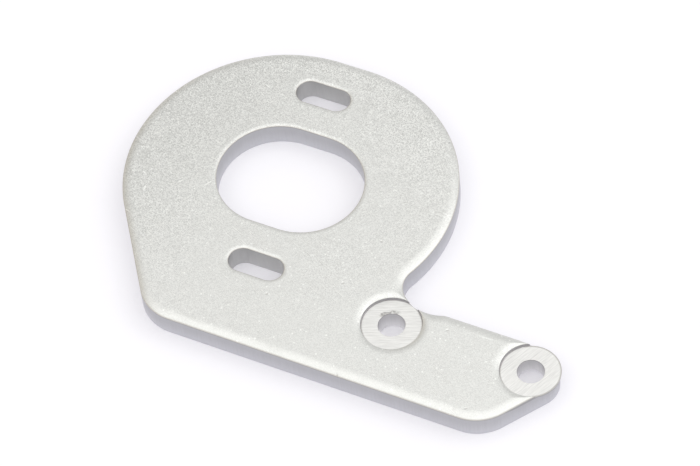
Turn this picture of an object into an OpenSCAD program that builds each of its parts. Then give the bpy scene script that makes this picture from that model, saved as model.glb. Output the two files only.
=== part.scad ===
// Motor plate: one stamped aluminium sheet that carries a small electric motor.
// The motor's boss sits in the large opening and two screws hold it through the slots.
// The arm has two holes in coined seats, by which the plate is screwed to a chassis.
// Origin: the motor's centre, on the underside. The motor is moved along X.

/* [Sheet] */
// Thickness of the sheet
sheet_t = 3; // [2.4:0.1:4]
// Width of the rounded-down band along the blanked edge
roll_w = 1.2; // [0.6:0.05:1.5]
// Depth of the rounded-down band along the blanked edge
roll_h = 0.3; // [0.1:0.05:0.5]
// Width of the rounded-down band round the opening and the slots
rim_w = 0.5; // [0.2:0.05:0.8]
// Depth of the rounded-down band round the opening and the slots
rim_h = 0.1; // [0.04:0.02:0.2]

/* [Motor seat] */
// Width of the round lobe, which is that of the motor's can
lobe_w = 35.8; // [34:0.1:37]
// Width of the opening for the motor's boss
opening_w = 14; // [12:0.1:16]
// Distance between the two motor screws
screw_span = 25; // [23:0.1:27]
// Turn of the line through the two screws, from square to the travel
screw_turn = 7; // [0:0.5:14]
// Width of a screw slot
slot_w = 3.2; // [2.6:0.1:3.8]
// How far the motor can be moved along the slots
travel = 3.5; // [2:0.1:5]

/* [Lower edge] */
// Distance from the motor's centre to the long lower edge
lower_drop = 22.78; // [21.5:0.05:24.5]
// Slope of the flank beside the lobe
heel_slope = 54.7; // [50:0.1:60]
// Radius of the corner between that flank and the lower edge
heel_r = 5.6; // [3:0.1:7]
// Slope of the flank at the arm's end
toe_slope = 54.7; // [50:0.1:60]
// Radius of the corner between that flank and the lower edge
toe_r = 5.2; // [3:0.1:6]

/* [Arm] */
// Distance along X from the motor's centre to the inner arm hole
hole_x = 19.1; // [18.4:0.1:20.5]
// Distance from the inner arm hole to the outer one
hole_span = 16.85; // [15:0.05:19]
// Distance of the arm holes from the long lower edge
hole_rise = 8.7; // [8.2:0.05:9.4]
// Diameter of the arm holes
hole_d = 3.1; // [2.6:0.1:3.6]
// Radius of the arm's end round the outer hole
arm_end_r = 3.2; // [2.9:0.05:3.6]
// Radius of the notch between the arm and the lobe
notch_r = 2.75; // [2.2:0.05:3.2]
// Height of the notch's centre above the arm's upper edge
notch_lift = 2.9; // [2.5:0.1:3.3]
// Radius of the hollow that runs on from the notch past the inner hole
hollow_r = 4.8; // [4.2:0.1:5.4]
// How far the hollow runs in below the arm's upper edge
hollow_drop = 0.42; // [0.2:0.02:0.5]
// Radius of the shoulder between the hollow and the arm's upper edge
shoulder_r = 1.85; // [1:0.05:3]

/* [Coined seats] */
// Diameter of a coined seat
seat_d = 7; // [6:0.1:7.4]
// Depth of a coined seat below the upper face
seat_sink = 0.54; // [0.35:0.01:0.8]
// Width of the metal drawn down round a seat
draw_w = 1; // [0.5:0.05:1.3]
// Depth of the metal drawn down round a seat
draw_h = 0.22; // [0.1:0.02:0.3]
// Height above which coining has pushed the arm's end out
swell_z = 1; // [0.6:0.1:1.6]
// Width of the lip left between the seat's circle and the swollen end
swell_lip = 0.08; // [0.02:0.01:0.12]
// Height of the broken-out lower edge of the outer hole
break_h = 0.57; // [0.3:0.01:0.9]
// How far the broken-out edge is off the hole's centre
break_off = 0.5; // [0.2:0.05:0.8]
// Direction in which it is off centre
break_dir = 120; // [0:5:360]

/* [Hidden] */
$fn = 96;
// How far the tools run past the faces that they cut
over = 1;
// Metal that is left on the sheet for the tools that trim its edge
spare = 0.5;
// Straight edges lie this far inside the corner circles that they touch, so that
// the two cross in a clean line
tuck = 0.01;
// Angle at which a rounded-down band meets the upper face
meet = 2;

lobe_r = lobe_w / 2;
half_travel = travel / 2;
lower_y = -lower_drop;
hole_y = lower_y + hole_rise;
hole_out_x = hole_x + hole_span;
arm_top_y = hole_y + arm_end_r;
slot_offset = screw_span / 2 * [sin(screw_turn), -cos(screw_turn)];

// Outward directions of the two flanks, as angles from X
heel_dir = 270 - heel_slope;
toe_dir = toe_slope - 90;

function spot(centre, r, angle) = centre + r * [cos(angle), sin(angle)];

// Centre of a circle of radius r that touches the lower edge and the line that
// lies at the distance reach from the origin in the direction dir
function corner(r, dir, reach) = [
    (reach - r - sin(dir) * (lower_y + r)) / cos(dir),
    lower_y + r
];

lobe_left = [-half_travel, 0];
lobe_right = [half_travel, 0];
arm_end = [hole_out_x, hole_y];
heel_reach = lobe_left * [cos(heel_dir), sin(heel_dir)] + lobe_r;
toe_reach = arm_end * [cos(toe_dir), sin(toe_dir)] + arm_end_r;
heel = corner(heel_r, heel_dir, heel_reach);
toe = corner(toe_r, toe_dir, toe_reach);

floor_z = sheet_t - seat_sink;
swell_r = seat_d / 2 - swell_lip;

// The notch circle touches the lobe from outside
notch_y = arm_top_y + notch_lift;
notch = [half_travel + sqrt(pow(lobe_r + notch_r, 2) - notch_y * notch_y), notch_y];
notch_dir = asin(notch_y / (lobe_r + notch_r));

// The notch circle touches the wider hollow circle from inside, at the direction hollow_dir
hollow_y = arm_top_y - hollow_drop + hollow_r;
hollow_rise = hollow_y - notch_y;
hollow = [notch[0] + sqrt(pow(hollow_r - notch_r, 2) - hollow_rise * hollow_rise), hollow_y];
hollow_dir = 180 + asin(hollow_rise / (hollow_r - notch_r));

// The shoulder circle touches the arm's upper edge and the hollow circle
shoulder_y = arm_top_y - shoulder_r;
shoulder_turn = acos(1 - hollow_drop / (hollow_r + shoulder_r));
shoulder = [hollow[0] + (hollow_r + shoulder_r) * sin(shoulder_turn), shoulder_y];

// Section of what a rounded-down band takes away, with the wall at x = 0.
// Its arc starts on the upper face at the width w and meets the wall at the depth h.
module band(w, h) {
    r = norm([w, h]) / (2 * sin(atan(h / w) - meet));
    depth = h + 2 * tuck;
    difference() {
        translate([-over, sheet_t - depth])
            square([over + w + r * sin(meet), depth + over]);
        translate([w + r * sin(meet), sheet_t - r * cos(meet)])
            circle(r);
    }
}

// Section of the tool that trims the edge and rounds it down, with the wall at x = 0
module trim() {
    translate([-over, -over])
        square([over, sheet_t + 2 * over]);
    band(roll_w, roll_h);
}

// Trims a round corner of the blank, from the direction start on
module round_trim(centre, r, start, sweep) {
    translate([centre[0], centre[1], 0])
        rotate([0, 0, start])
            rotate_extrude(angle = sweep)
                translate([r, 0])
                    mirror([1, 0])
                        trim();
}

// Trims the straight edge that touches two circles on the same side, from over
// before the first one to over behind the next
module straight_trim(centre, r, next_centre, next_r, dir) {
    from = spot(centre, r - tuck, dir);
    to = spot(next_centre, next_r - tuck, dir);
    translate([from[0], from[1], 0])
        rotate([0, 0, dir + 90])
            rotate([90, 0, 90])
                translate([0, 0, -over])
                    linear_extrude(2 * over + norm(to - from))
                        trim();
}

// Trims a hollow corner of the blank, from the direction start on
module hollow_trim(centre, r, start, sweep) {
    translate([centre[0], centre[1], 0])
        rotate([0, 0, start])
            rotate_extrude(angle = sweep)
                translate([r, 0])
                    trim();
}

// Trims the notch and the hollow. Both run on across what follows, and the notch is
// cut slightly deeper, so that they cross in a clean line.
module notch_trim() {
    more = 12;
    notch_start = notch_dir + 180 - more;
    hollow_end = 270 + shoulder_turn + more;
    hollow_trim(notch, notch_r + 3 * tuck, notch_start, hollow_dir + more - notch_start);
    hollow_trim(hollow, hollow_r + 2 * tuck, hollow_dir, hollow_end - hollow_dir);
}

// Outline of the sheet before its edge is trimmed
module outline() {
    lobe_out = lobe_r + spare;
    heel_out = heel_r + spare;
    toe_out = toe_r + spare;
    arm_out = arm_end_r + spare;
    notch_in = notch_r - spare;
    for (centre = [lobe_left, lobe_right])
        translate(centre)
            circle(lobe_out);
    translate(heel)
        circle(heel_out);
    translate(toe)
        circle(toe_out);
    translate(arm_end)
        circle(arm_out);
    polygon([
        spot(lobe_left, lobe_out, 90),
        spot(lobe_left, lobe_out, heel_dir),
        spot(heel, heel_out, heel_dir),
        spot(heel, heel_out, 270),
        spot(toe, toe_out, 270),
        spot(toe, toe_out, toe_dir),
        spot(arm_end, arm_out, toe_dir),
        spot(arm_end, arm_out, 90),
        spot(shoulder, shoulder_r + spare, 90),
        spot(hollow, hollow_r - spare, 270),
        spot(hollow, hollow_r - spare, (hollow_dir + 270) / 2),
        spot(notch, notch_in, hollow_dir),
        spot(notch, notch_in, (hollow_dir + 180) / 2),
        lobe_right,
        spot(lobe_right, lobe_out, 90)
    ]);
}

// The blank with its edge trimmed and rounded down all round
module blank() {
    difference() {
        linear_extrude(sheet_t)
            outline();
        round_trim(lobe_left, lobe_r, 90, heel_dir - 90);
        straight_trim(lobe_left, lobe_r, heel, heel_r, heel_dir);
        round_trim(heel, heel_r, heel_dir, heel_slope);
        straight_trim(heel, heel_r, toe, toe_r, 270);
        round_trim(toe, toe_r, 270, toe_slope);
        straight_trim(toe, toe_r, arm_end, arm_end_r, toe_dir);
        round_trim(arm_end, arm_end_r, toe_dir, 90 - toe_dir);
        straight_trim(arm_end, arm_end_r, shoulder, shoulder_r, 90);
        round_trim(shoulder, shoulder_r, 90, shoulder_turn);
        notch_trim();
        round_trim(lobe_right, lobe_r, notch_dir, 90 - notch_dir);
        straight_trim(lobe_right, lobe_r, lobe_left, lobe_r, 90);
    }
}

// Round-ended slot along X of the width w, its rim rounded down
module slot(w) {
    translate([0, 0, -over])
        linear_extrude(sheet_t + 2 * over) {
            square([travel, w], center = true);
            for (side = [-1, 1])
                translate([side * half_travel, 0])
                    circle(d = w);
        }
    for (turn = [0, 180])
        rotate([0, 0, turn]) {
            translate([half_travel, 0, 0])
                rotate([0, 0, -90])
                    rotate_extrude(angle = 180)
                        translate([w / 2, 0])
                            band(rim_w, rim_h);
            translate([-half_travel, w / 2, 0])
                rotate([90, 0, 90])
                    linear_extrude(travel)
                        band(rim_w, rim_h);
        }
}

// Coined seat with the metal round it drawn down, and the screw hole through it
module seat() {
    rotate_extrude() {
        translate([0, floor_z])
            square([seat_d / 2, seat_sink + over]);
        translate([seat_d / 2, 0])
            band(draw_w, draw_h);
    }
    translate([0, 0, -over])
        cylinder(h = sheet_t + 2 * over, d = hole_d);
}

// Metal that coining the outer seat has pushed out at the arm's end. It leaves the
// wall at the height swell_z and is nearly as wide as the seat at its floor.
module swell() {
    flare = (swell_r - arm_end_r) / (floor_z - swell_z);
    more = 0.1;
    if (swell_r > arm_end_r + 2 * tuck)
        translate([hole_out_x, hole_y, swell_z - more])
            cylinder(
                h = floor_z - swell_z + 2 * more,
                r1 = arm_end_r - flare * more - tuck,
                r2 = swell_r + flare * more
            );
}

// Cone that widens the lower edge of a hole on one side, where the punch broke it out
module breakout() {
    low = norm([hole_d / 2, break_off]);
    high = hole_d / 2 - break_off;
    slope = (low - high) / break_h;
    more = 0.3;
    translate(concat(spot([0, 0], break_off, break_dir), -more))
        cylinder(h = break_h + 2 * more, r1 = low + slope * more, r2 = high - slope * more);
}

module motor_plate() {
    color("gainsboro")
        difference() {
            union() {
                blank();
                swell();
            }
            slot(opening_w);
            for (side = [-1, 1])
                translate([side * slot_offset[0], side * slot_offset[1], 0])
                    slot(slot_w);
            for (x = [hole_x, hole_out_x])
                translate([x, hole_y, 0])
                    seat();
            translate([hole_out_x, hole_y, 0])
                breakout();
        }
}

motor_plate();
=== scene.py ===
"""Looks of the motor plate: its rounded-down edges, coined seats and worn finish.

The plate is one closed surface. Its upper face is a height over the plan, its walls
are a section carried along each edge, and all of it is worked out with numpy.
"""

import logging
import math
from dataclasses import dataclass, field
from enum import Enum
from typing import Any, Callable, Sequence

import bpy
import numpy as np
from mathutils import Matrix, Vector
from mathutils.geometry import delaunay_2d_cdt


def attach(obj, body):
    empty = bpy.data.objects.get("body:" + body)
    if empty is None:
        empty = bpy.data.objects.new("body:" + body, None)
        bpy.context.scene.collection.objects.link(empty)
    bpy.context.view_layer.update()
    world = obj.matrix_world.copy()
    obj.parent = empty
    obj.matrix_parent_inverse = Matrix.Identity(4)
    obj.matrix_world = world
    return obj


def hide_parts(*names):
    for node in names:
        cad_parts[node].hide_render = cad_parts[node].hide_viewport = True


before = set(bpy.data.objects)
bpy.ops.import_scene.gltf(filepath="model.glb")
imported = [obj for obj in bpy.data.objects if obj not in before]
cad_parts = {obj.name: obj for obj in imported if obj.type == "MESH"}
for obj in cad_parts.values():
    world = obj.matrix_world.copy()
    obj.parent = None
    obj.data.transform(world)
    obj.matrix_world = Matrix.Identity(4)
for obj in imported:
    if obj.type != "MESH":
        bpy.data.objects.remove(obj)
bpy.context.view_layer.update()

LOG = logging.getLogger("motor_plate")
Array = np.ndarray
Color = tuple[float, float, float, float]
MM = 0.001
EVEN = (1.0, 1.0, 1.0)
ALONG_X = (1.0, 0.0)


class Finish(Enum):
    """Finishes of the plate, numbered as its material slots."""

    TUMBLED = 0
    COINED = 1
    SHEARED = 2
    OPENED = 3
    SLOTTED = 4
    PUNCHED = 5
    PRESSED = 6


def unit(angle: Array | float) -> Array:
    """Unit vectors in the plan at angles in degrees: cosine along X, sine along Y."""
    turn = np.radians(angle)
    return np.stack([np.cos(turn), np.sin(turn)], axis=-1)


@dataclass(frozen=True)
class PlateSizes:
    """Driving sizes in millimetres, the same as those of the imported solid.

    The noses, the foot, the groove and the tuck, by which the outline is drawn in,
    are added here, and a gather is the power of the curve of a rounded-down band.
    """

    sheet_t: float = 3.0
    roll_w: float = 1.2
    roll_h: float = 0.3
    roll_gather: float = 2.3
    rim_w: float = 0.5
    rim_h: float = 0.1
    rim_gather: float = 2.0
    lobe_r: float = 17.9
    opening_w: float = 14.0
    screw_span: float = 25.0
    screw_turn: float = 7.0
    slot_w: float = 3.2
    travel: float = 3.5
    lower_drop: float = 22.78
    heel_slope: float = 54.7
    heel_r: float = 5.6
    toe_slope: float = 54.7
    toe_r: float = 5.2
    hole_x: float = 19.1
    hole_span: float = 16.85
    hole_rise: float = 8.7
    hole_d: float = 3.1
    arm_end_r: float = 3.2
    notch_r: float = 2.75
    notch_lift: float = 2.9
    hollow_r: float = 4.8
    hollow_drop: float = 0.42
    shoulder_r: float = 1.85
    seat_d: float = 7.0
    seat_sink: float = 0.54
    draw_w: float = 1.0
    draw_h: float = 0.22
    draw_gather: float = 2.6
    swell_z: float = 1.0
    swell_lip: float = 0.08
    break_h: float = 0.57
    break_off: float = 0.5
    break_dir: float = 120.0
    nose: float = 0.07
    rim_nose: float = 0.04
    seat_nose: float = 0.03
    groove_w: float = 0.05
    groove_h: float = 0.02
    foot: float = 0.05
    tuck: float = 0.01

    @property
    def hole_y(self) -> float:
        """Place of the arm holes along Y."""
        return self.hole_rise - self.lower_drop

    @property
    def floor_z(self) -> float:
        """Height of the coined seats."""
        return self.sheet_t - self.seat_sink

    @property
    def swell_r(self) -> float:
        """Radius of the arm's swollen end at the height of its seat."""
        return self.seat_d / 2 - self.swell_lip - self.tuck

    @property
    def seat_centres(self) -> tuple[Array, Array]:
        """Centres of the two coined seats in the plan."""
        inner = np.array([self.hole_x, self.hole_y])
        return inner, inner + [self.hole_span, 0.0]

    @property
    def break_r(self) -> float:
        """Radius of the broken-out edge of the outer hole on the underside."""
        return math.hypot(self.hole_d / 2, self.break_off)

    @property
    def break_slope(self) -> float:
        """How fast that edge narrows upwards."""
        return (self.break_r - self.hole_d / 2 + self.break_off) / self.break_h

    @property
    def break_centre(self) -> Array:
        """Centre of that edge in the plan."""
        return self.seat_centres[1] + self.break_off * unit(self.break_dir)


@dataclass(frozen=True)
class Turn:
    """Round turn of a closed edge.

    Attributes:
        centre: Centre in the plan.
        radius: Radius, negative where the metal lies outside the circle.
        start: Direction out of the metal where the turn starts, in degrees.
        sweep: How far that direction turns, in degrees.
    """

    centre: Array
    radius: float
    start: float
    sweep: float


class Edge:
    """Closed edge of round turns joined by straights, with the metal on its left.

    Its class values are the shortest length that counts, a distance past all edges,
    the part of a step within which an even place gives way to a further one, the
    least way from a turn's centre, the slack at a turn's ends in degrees, and the
    numbers of places and halvings by which a crossing is found.
    """

    SHORTEST = 1e-6
    FAR = 1e3
    NEAR = 0.3
    LEAST_WAY = 1e-9
    SLACK = 1e-3
    CROSSING_PLACES = 20000
    HALVINGS = 40

    def __init__(self, turns: Sequence[Turn]) -> None:
        """Works out the stretches of the edge.

        Args:
            turns: Its round turns in order. A straight joins each to the next.
        """
        rows = []
        for turn, following in zip(turns, [*turns[1:], turns[0]]):
            end = turn.start + turn.sweep
            leave = turn.centre + turn.radius * unit(end)
            reach = following.centre + following.radius * unit(following.start)
            length = abs(turn.radius * math.radians(turn.sweep))
            rows.append((*turn.centre, turn.radius, turn.start, turn.sweep, length))
            gap = float(np.hypot(*(reach - leave)))
            if gap > self.SHORTEST:
                rows.append((*leave, 0.0, end, 0.0, gap))
        table = np.array(rows)
        self.base = table[:, 0:2]
        self.radius = table[:, 2]
        self.start = table[:, 3]
        self.sweep = table[:, 4]
        self.length = table[:, 5]
        self.begin = np.concatenate([[0.0], np.cumsum(self.length)[:-1]])
        self.total = float(self.length.sum())

    def stations(self, step: float, extra: Sequence[float] = ()) -> Array:
        """Places along the edge, evenly spaced within each stretch.

        Args:
            step: Widest spacing in millimetres.
            extra: Further places that have to be there.

        Returns:
            The places in order, as lengths along the edge.
        """
        parts = [
            begin + np.arange(n) * length / n
            for begin, length in zip(self.begin, self.length)
            for n in [max(1, math.ceil(length / step))]
        ]
        places = np.concatenate(parts)
        for place in extra:
            places = places[np.abs(places - place) > self.NEAR * step]
        return np.sort(np.concatenate([places, np.asarray(extra, float)]))

    def at(self, places: Array) -> tuple[Array, Array]:
        """Points and directions out of the metal at places along the edge.

        A turn's point is its centre plus its radius along the direction out, and a
        straight's is its start plus the way gone along it.

        Args:
            places: Lengths along the edge.

        Returns:
            The points and the unit directions out of the metal.
        """
        k = np.searchsorted(self.begin, places, side="right") - 1
        gone = places - self.begin[k]
        angle = self.start[k] + self.sweep[k] * gone / self.length[k]
        out = unit(angle)
        straight = np.where(self.sweep[k] == 0.0, gone, 0.0)
        points = self.base[k] + self.radius[k, None] * out
        return points + straight[:, None] * unit(angle + 90.0), out

    def distance(self, at: Array) -> tuple[Array, Array]:
        """Distance into the metal from the nearest stretch, and its slope.

        For a turn it is the radius less the way to the centre, and for a straight
        the way across it. Each counts only within its own stretch.

        Args:
            at: Points in the plan.

        Returns:
            Distances, positive in the metal, and their unit slopes.
        """
        best = np.full(len(at), self.FAR)
        slope = np.zeros((len(at), 2))
        for base, radius, start, sweep, length in zip(
            self.base, self.radius, self.start, self.sweep, self.length
        ):
            way = at - base
            if sweep == 0.0:
                inward = np.broadcast_to(-unit(start), way.shape)
                found = np.einsum("ij,ij->i", way, inward)
                along = way @ unit(start + 90.0)
                valid = (along > -self.SHORTEST) & (along < length + self.SHORTEST)
            else:
                side = math.copysign(1.0, radius)
                far = np.maximum(np.hypot(*way.T), self.LEAST_WAY)
                inward = -side * way / far[:, None]
                found = side * (abs(radius) - far)
                angle = np.degrees(np.arctan2(side * way[:, 1], side * way[:, 0]))
                off = (angle - start - sweep / 2 + 180.0) % 360.0 - 180.0
                valid = np.abs(off) < abs(sweep) / 2 + self.SLACK
            nearer = valid & (np.abs(found) < np.abs(best))
            best = np.where(nearer, found, best)
            slope = np.where(nearer[:, None], inward, slope)
        return best, slope

    def crossings(self, centre: Array, radius: float) -> Array:
        """Places where a circle crosses the edge, found by halving.

        Args:
            centre: The circle's centre.
            radius: The circle's radius.

        Returns:
            The places as lengths along the edge.
        """
        places = np.linspace(0.0, self.total - self.SHORTEST, self.CROSSING_PLACES)

        def beyond(where: Array) -> Array:
            """How far the edge lies outside the circle."""
            return np.hypot(*(self.at(where)[0] - centre).T) - radius

        value = beyond(places)
        k = np.flatnonzero(np.sign(value[:-1]) != np.sign(value[1:]))
        low, high = places[k], places[k + 1]
        for _ in range(self.HALVINGS):
            middle = (low + high) / 2
            same = np.sign(beyond(middle)) == np.sign(beyond(low))
            low, high = np.where(same, middle, low), np.where(same, high, middle)
        return low


@dataclass(frozen=True)
class Rounding:
    """Band along an edge in which a face is rounded down towards the wall.

    Attributes:
        width: Width of the band.
        depth: Depth of the band at the wall.
        nose: Radius of the small round between the band and the wall.
        power: How far its curve is gathered towards the wall.
    """

    STEEPEST = 0.995

    width: float
    depth: float
    nose: float
    power: float

    def drop(self, d: Array) -> tuple[Array, Array]:
        """Depth of the band and its slope at distances from the wall.

        The section is depth (1 - d / width)^power, and nothing past the width.

        Args:
            d: Distances from the wall.

        Returns:
            Depths and slopes.
        """
        left = np.clip(1.0 - d / self.width, 0.0, 1.0)
        fall = -self.power * self.depth / self.width * left ** (self.power - 1)
        return self.depth * left**self.power, fall

    def round_off(self, d: Array) -> tuple[Array, Array]:
        """Depth and slope of the small round at the wall, a quarter circle.

        The depth is r - sqrt(r^2 - left^2), with left the nose r less the distance.

        Args:
            d: Distances from the wall.

        Returns:
            Depths and slopes.
        """
        left = np.clip(self.nose - d, 0.0, self.nose)
        depth = self.nose - np.sqrt(self.nose**2 - left**2)
        soft = np.minimum(left, self.STEEPEST * self.nose)
        return depth, -soft / np.sqrt(self.nose**2 - soft**2)


@dataclass
class Facets:
    """Triangles of the plate as they are collected.

    Attributes:
        points: Blocks of corner points in millimetres.
        corners: Blocks of triangles, as numbers of points.
        normals: Blocks of shading normals, one for each corner of each triangle.
        maps: Blocks of section map positions, one for each corner.
        finishes: Blocks of finish numbers, one for each triangle.
        count: Number of points so far.
    """

    points: list[Array] = field(default_factory=list)
    corners: list[Array] = field(default_factory=list)
    normals: list[Array] = field(default_factory=list)
    maps: list[Array] = field(default_factory=list)
    finishes: list[Array] = field(default_factory=list)
    count: int = 0

    def place(self, points: Array) -> Array:
        """Adds points.

        Args:
            points: The points in millimetres.

        Returns:
            Their numbers.
        """
        self.points.append(points)
        self.count += len(points)
        return np.arange(self.count - len(points), self.count)

    def cover(
        self, corners: Array, normals: Array, maps: Array, finish: Finish
    ) -> None:
        """Adds triangles.

        Args:
            corners: Numbers of the points, three to a triangle.
            normals: Shading normals of those corners.
            maps: Section map positions of those corners.
            finish: Their finish.
        """
        self.corners.append(corners)
        self.normals.append(normals)
        self.maps.append(maps)
        self.finishes.append(np.full(len(corners), finish.value))

    def mesh(self, name: str) -> bpy.types.Mesh:
        """Puts the triangles into a mesh, in metres.

        Args:
            name: Name of the mesh.

        Returns:
            The mesh, with its shading normals and its section map.
        """
        points = np.concatenate(self.points) * MM
        corners = np.concatenate(self.corners)
        mesh = bpy.data.meshes.new(name)
        mesh.vertices.add(len(points))
        mesh.vertices.foreach_set("co", points.astype(np.float32).ravel())
        mesh.loops.add(corners.size)
        mesh.loops.foreach_set("vertex_index", corners.ravel())
        mesh.polygons.add(len(corners))
        mesh.polygons.foreach_set("loop_start", np.arange(0, corners.size, 3))
        mesh.polygons.foreach_set("material_index", np.concatenate(self.finishes))
        mesh.update(calc_edges=True)
        section = mesh.uv_layers.new(name="section")
        maps = np.concatenate(self.maps).astype(np.float32)
        section.data.foreach_set("uv", maps.ravel())
        mesh.validate()
        mesh.polygons.foreach_set("use_smooth", np.ones(len(corners), bool))
        normals = np.concatenate(self.normals).reshape(-1, 3)
        mesh.normals_split_custom_set(normals.tolist())
        return mesh


def triangulate(points: Array, kept: Array) -> Array:
    """Delaunay triangles over points in the plan, counter-clockwise.

    Args:
        points: The points.
        kept: Pairs of points that have to be joined by a side.

    Returns:
        Numbers of the points of each triangle.
    """
    whole_area, closest = 0, 1e-6
    found, _, faces, *_ = delaunay_2d_cdt(
        points.tolist(), kept.tolist(), [], whole_area, closest, False
    )
    if len(found) != len(points):
        raise ValueError(f"edges cross: {len(found) - len(points)} new points")
    faces = np.array(faces)
    a, b, c = (points[faces[:, k]] for k in range(3))
    (bx, by), (cx, cy) = (b - a).T, (c - a).T
    turned = bx * cy - by * cx < 0
    faces[turned] = faces[turned][:, ::-1]
    return faces


def follow(count: int) -> Array:
    """Pairs that join a closed row of points, each to the next."""
    here = np.arange(count)
    return np.stack([here, np.roll(here, -1)], axis=1)


@dataclass
class Plate:
    """The plate: a stamped sheet with an opening, two slots and two coined seats.

    Its class values are the spacing of points along coarse and fine edges, how far
    rows of points stay clear of other edges and a seat's points of the outline, the
    rows of points across a nose, a rounded-down band, a seat's groove and a hole's
    lip, the heights of the rings down a wall, the turns of its foot, and how far
    above its foot a crease stays.

    Attributes:
        sizes: Driving sizes.
        facets: Triangles as they are collected.
    """

    STEP = 0.18
    FINE_STEP = 0.1
    CLEAR = 0.05
    SEAT_CLEAR = 0.01
    BEND = (0.181, 0.5, 1.0)
    BAND = (0.13, 0.22, 0.32, 0.44, 0.56, 0.7, 0.85, 1.0, 1.15)
    GROOVE = (-0.02, -0.04, -0.06, -0.085, -0.12, -0.2, -0.4)
    LIP = (0.1, 0.3)
    RINGS = (2.2, 1.6, 1.0)
    FOOT_TURNS = (0.0, 30.0, 60.0, 90.0)
    LOWEST_CREASE = 2.4

    sizes: PlateSizes = field(default_factory=PlateSizes)
    facets: Facets = field(default_factory=Facets)

    def __post_init__(self) -> None:
        """Lays out the edges."""
        s = self.sizes
        self.outline = self.outer_edge()
        turn = math.radians(s.screw_turn)
        middle = s.screw_span / 2 * np.array([math.sin(turn), -math.cos(turn)])
        self.opening = self.slot_edge(np.zeros(2), s.opening_w)
        self.slots = [self.slot_edge(side * middle, s.slot_w) for side in (-1, 1)]
        self.holes = [self.round_edge(c, s.hole_d / 2) for c in s.seat_centres]
        self.seats = [self.round_edge(c, s.seat_d / 2) for c in s.seat_centres]
        self.edges = [self.outline, self.opening, *self.slots, *self.holes]
        self.finishes = [Finish.SHEARED, Finish.OPENED]
        self.finishes += [Finish.SLOTTED] * 2 + [Finish.PUNCHED] * 2
        self.roll = Rounding(s.roll_w, s.roll_h, s.nose, s.roll_gather)
        self.rim = Rounding(s.rim_w, s.rim_h, s.rim_nose, s.rim_gather)
        self.draw = Rounding(s.draw_w, s.draw_h, s.seat_nose, s.draw_gather)

    def outer_edge(self) -> Edge:
        """Outline of the blank: lobe, heel, toe, arm's end and the hollow notch.

        The heel and the toe touch the lower edge and a flank. The notch touches the
        lobe's right half, so its centre is both radii away from the lobe's. The
        hollow touches the notch from around it and dips below the arm's upper edge,
        and the shoulder touches the hollow and that edge.

        Returns:
            The outline.
        """
        s = self.sizes
        lower = -s.lower_drop
        heel_dir, toe_dir = 270.0 - s.heel_slope, 270.0 + s.toe_slope
        left, right = np.array([-s.travel / 2, 0.0]), np.array([s.travel / 2, 0.0])
        arm = s.seat_centres[1]

        def corner(r: float, angle: float, reach: float) -> Array:
            """Centre of a circle that touches the lower edge and a flank."""
            out = unit(angle)
            return np.array([(reach - r - out[1] * (lower + r)) / out[0], lower + r])

        heel = corner(s.heel_r, heel_dir, float(left @ unit(heel_dir)) + s.lobe_r)
        toe = corner(s.toe_r, toe_dir, float(arm @ unit(toe_dir)) + s.arm_end_r)
        top = s.hole_y + s.arm_end_r
        notch_y = top + s.notch_lift
        span = s.lobe_r + s.notch_r
        notch = np.array([s.travel / 2 + math.sqrt(span**2 - notch_y**2), notch_y])
        notch_dir = math.degrees(math.asin(notch_y / span))
        gap = s.hollow_r - s.notch_r
        rise = top - s.hollow_drop + s.hollow_r - notch_y
        hollow = notch + [math.sqrt(gap**2 - rise**2), rise]
        hollow_dir = 360.0 + math.degrees(math.asin(rise / gap))
        join = s.hollow_r + s.shoulder_r
        turn = math.acos(1 - s.hollow_drop / join)
        shoulder = np.array([hollow[0] + join * math.sin(turn), top - s.shoulder_r])
        shoulder_dir = 450.0 + math.degrees(turn)
        hollow_sweep = hollow_dir - shoulder_dir
        notch_sweep = 360.0 + notch_dir - hollow_dir
        return Edge(
            [
                Turn(right, s.lobe_r - s.tuck, notch_dir, 90.0 - notch_dir),
                Turn(left, s.lobe_r - s.tuck, 90.0, heel_dir - 90.0),
                Turn(heel, s.heel_r - s.tuck, heel_dir, s.heel_slope),
                Turn(toe, s.toe_r - s.tuck, 270.0, s.toe_slope),
                Turn(arm, s.arm_end_r - s.tuck, toe_dir, 450.0 - toe_dir),
                Turn(shoulder, s.shoulder_r - s.tuck, 450.0, shoulder_dir - 450.0),
                Turn(hollow, -s.hollow_r - s.tuck, shoulder_dir, hollow_sweep),
                Turn(notch, -s.notch_r - s.tuck, hollow_dir, notch_sweep),
            ]
        )

    def slot_edge(self, centre: Array, width: float) -> Edge:
        """Round-ended cut along X, with the metal outside it.

        Args:
            centre: Its centre.
            width: Its width across X.

        Returns:
            Its edge.
        """
        half = np.array([self.sizes.travel / 2, 0.0])
        return Edge(
            [
                Turn(centre + half, -width / 2, -90.0, -180.0),
                Turn(centre - half, -width / 2, -270.0, -180.0),
            ]
        )

    @staticmethod
    def round_edge(centre: Array, radius: float) -> Edge:
        """Round cut, with the metal outside it."""
        return Edge([Turn(centre, -radius, -90.0, -360.0)])

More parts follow.
